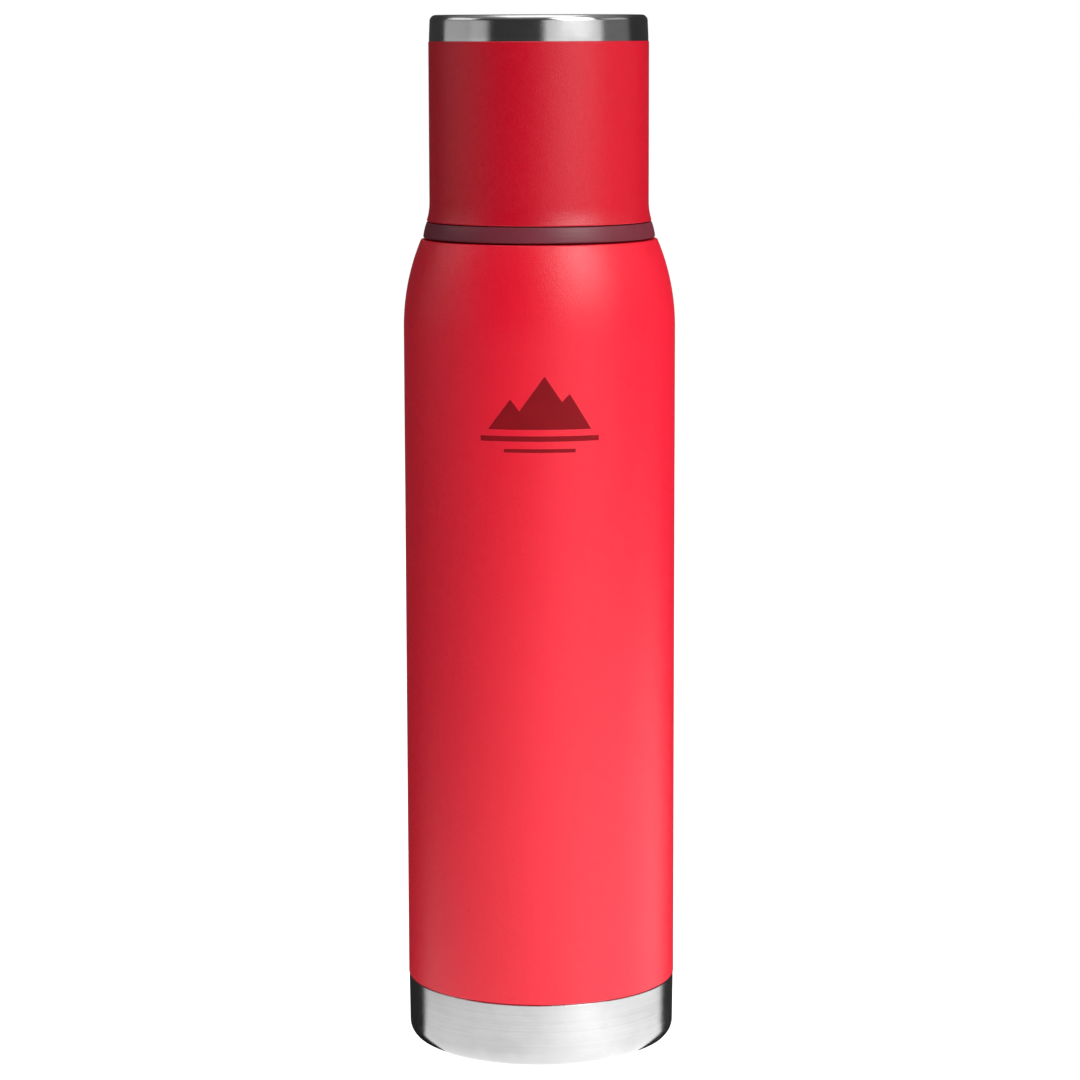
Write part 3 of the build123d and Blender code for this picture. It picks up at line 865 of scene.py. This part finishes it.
def glowing_paper():
    """Grey paper that glows with painted bounce light in place of a lit floor: a painted pool of light that
    grows from the far left to the near right, with a painted bright streak across it.
    """
    m = Nodes("painted_bounce_glow")
    split = m.add("ShaderNodeSeparateXYZ")
    m.link(m.place, split.inputs[0])
    rightward = m.math("MULTIPLY", split.outputs[0], 0.82)
    across = m.math("ADD", rightward, m.math("MULTIPLY", split.outputs[1], -0.57))
    beside = m.math("ADD", rightward, m.math("MULTIPLY", split.outputs[1], 0.57))
    # Painted bright streak across the table, for the steel band to mirror.
    streak = m.spread(m.math("ABSOLUTE", beside), 0.0, 0.05, 0.5, 0.0)
    m.set(Roughness=0.9, Specular_IOR_Level=0.0, Emission_Color=(1.0, 1.0, 1.0))
    m.wire(
        Base_Color=m.mix(m.noise(6, 2.0), (0.0194, 0.0194, 0.0194), (0.02, 0.02, 0.02)),
        Emission_Strength=m.math("ADD", m.spread(across, -0.3, 0.3, 0.30, 2.3), streak),
    )
    return m.material


def white_paper():
    """White sweep whose glow is painted a little dimmer beside the bottle, a painted shade, so that the
    contact shadow shows.
    """
    m = Nodes("pale_paper")
    away = m.add("ShaderNodeVectorMath", operation="LENGTH")
    m.link(m.place, away.inputs[0])
    m.set(Roughness=0.9, Specular_IOR_Level=0.0, Emission_Color=(1.0, 1.0, 1.0))
    m.wire(
        Base_Color=m.mix(m.noise(6, 2.0), (0.29, 0.29, 0.29), (0.30, 0.30, 0.30)),
        # Painted shade: the glow dims towards the bottle.
        Emission_Strength=m.spread(away.outputs["Value"], 0.06, 0.4, 0.90, 1.02),
    )
    return m.material


floor = stage_fan("studio_floor", (0, 0, 0), 6.0)
floor.data.materials.append(white_paper())
seen_by(floor, camera=True)
# A table seen only by diffuse and glossy rays, glowing with painted bounce light.
table = stage_fan("bounce_glow_table", (0, 0, 0), 0.6)
table.data.materials.append(glowing_paper())
seen_by(table, diffuse=True, glossy=True)

# Black cards, there for reflections alone: painted shade of the floor, one on each side of the foot where
# the floor lies in the bottle's shade, and one under its rounded edge as a painted contact shadow.
black = Nodes("black_card")
black.set(Base_Color=(0.012, 0.012, 0.012), Roughness=0.8)
for side, apex, first in (
    ("left", (-0.0383, -0.0185, 0.001), -121),
    ("right", (0.0391, -0.0166, 0.001), 128),
):
    card = stage_fan(f"card_{side}", apex, 0.7, first, math.copysign(180, first), 12)
    card.data.materials.append(black.material)
    seen_by(card, glossy=True)
# Painted contact shadow: a black disc under the foot's rounded edge, seen only in reflections.
foot_shadow_card = stage_fan("foot_shadow_card", (0, 0.020, 0.0012), 0.056)
foot_shadow_card.data.materials.append(black.material)
seen_by(foot_shadow_card, glossy=True)

# ---------------------------------------------------------------- camera
EYE_PLACE = (0.0, -1.0876, 0.3203)
PITCH, ROLL = 8.38, -0.155
FOCAL_PIXELS, FRAME_PIXELS = 3475.0, 1080.0

camera = bpy.data.cameras.new("camera")
camera.sensor_width = 36.0
camera.lens = FOCAL_PIXELS / FRAME_PIXELS * camera.sensor_width
camera.clip_start, camera.clip_end = 0.05, 50.0
eye = bpy.data.objects.new("camera", camera)
bpy.context.scene.collection.objects.link(eye)
eye.matrix_world = (
    Matrix.Translation(EYE_PLACE)
    @ Matrix.Rotation(math.radians(90.0 - PITCH), 4, "X")
    @ Matrix.Rotation(math.radians(ROLL), 4, "Z")
)
bpy.context.scene.camera = eye
bpy.context.scene.view_settings.view_transform = "Standard"
